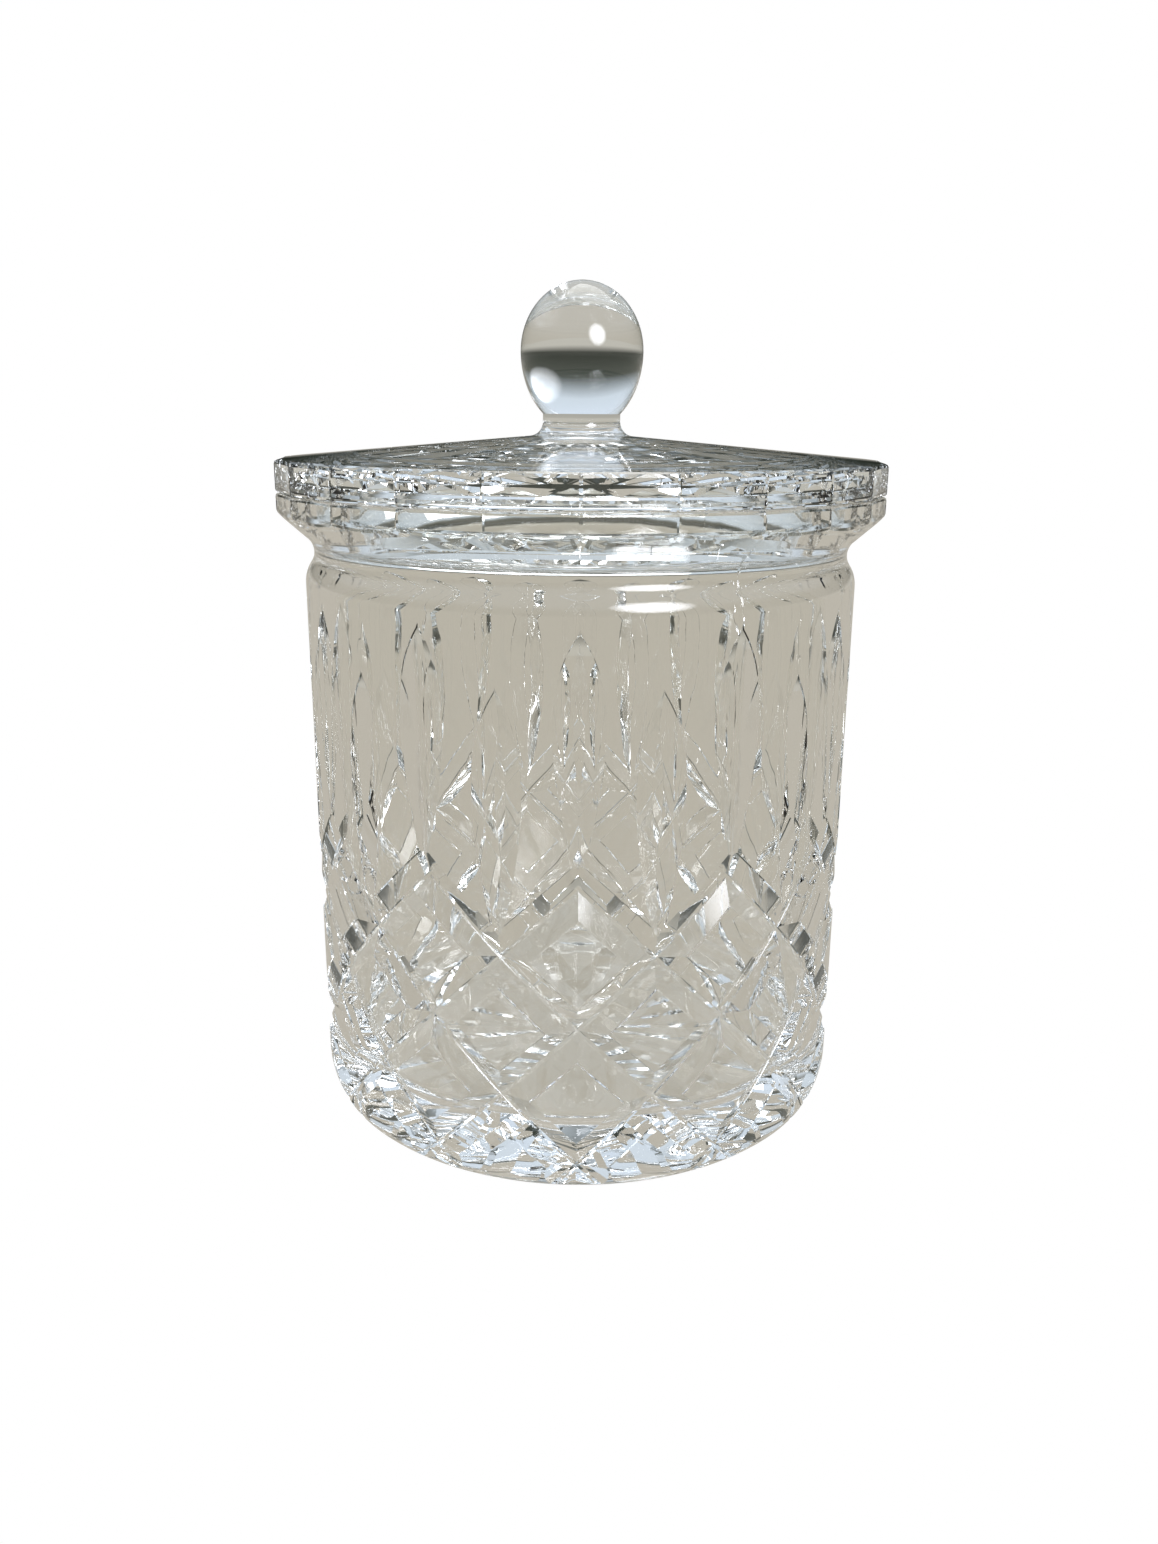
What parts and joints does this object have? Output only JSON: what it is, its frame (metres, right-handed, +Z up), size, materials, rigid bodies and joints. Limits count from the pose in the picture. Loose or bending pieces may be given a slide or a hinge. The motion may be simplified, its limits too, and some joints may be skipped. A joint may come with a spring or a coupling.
{
  "type": "powder jar",
  "caption": "Tall covered jar in clear pressed crystal: straight body with leaf and diamond cuts, flat many-sided rim, lift-off lid with a ball knob.",
  "frame": {"origin": "centre of the base, on the surface that the jar stands on", "axes": "+Z up along the jar's axis; -Y is the front, where a tall leaf and a corner of the rim face; +X is to the right"},
  "size_m": [0.13, 0.13, 0.1784],
  "materials": {
    "jar_crystal": "clear polished pressed crystal",
    "lid_crystal": "clear polished pressed crystal"
  },
  "bodies": {
    "jar": {"jar_body": "jar_crystal"},
    "lid": {"lid": "lid_crystal"}
  },
  "joints": [
    {"name": "lid_lift", "type": "slide", "parent": "jar", "child": "lid", "axis": [0, 0, 1], "range_m": [0, 0.08]}
  ]
}
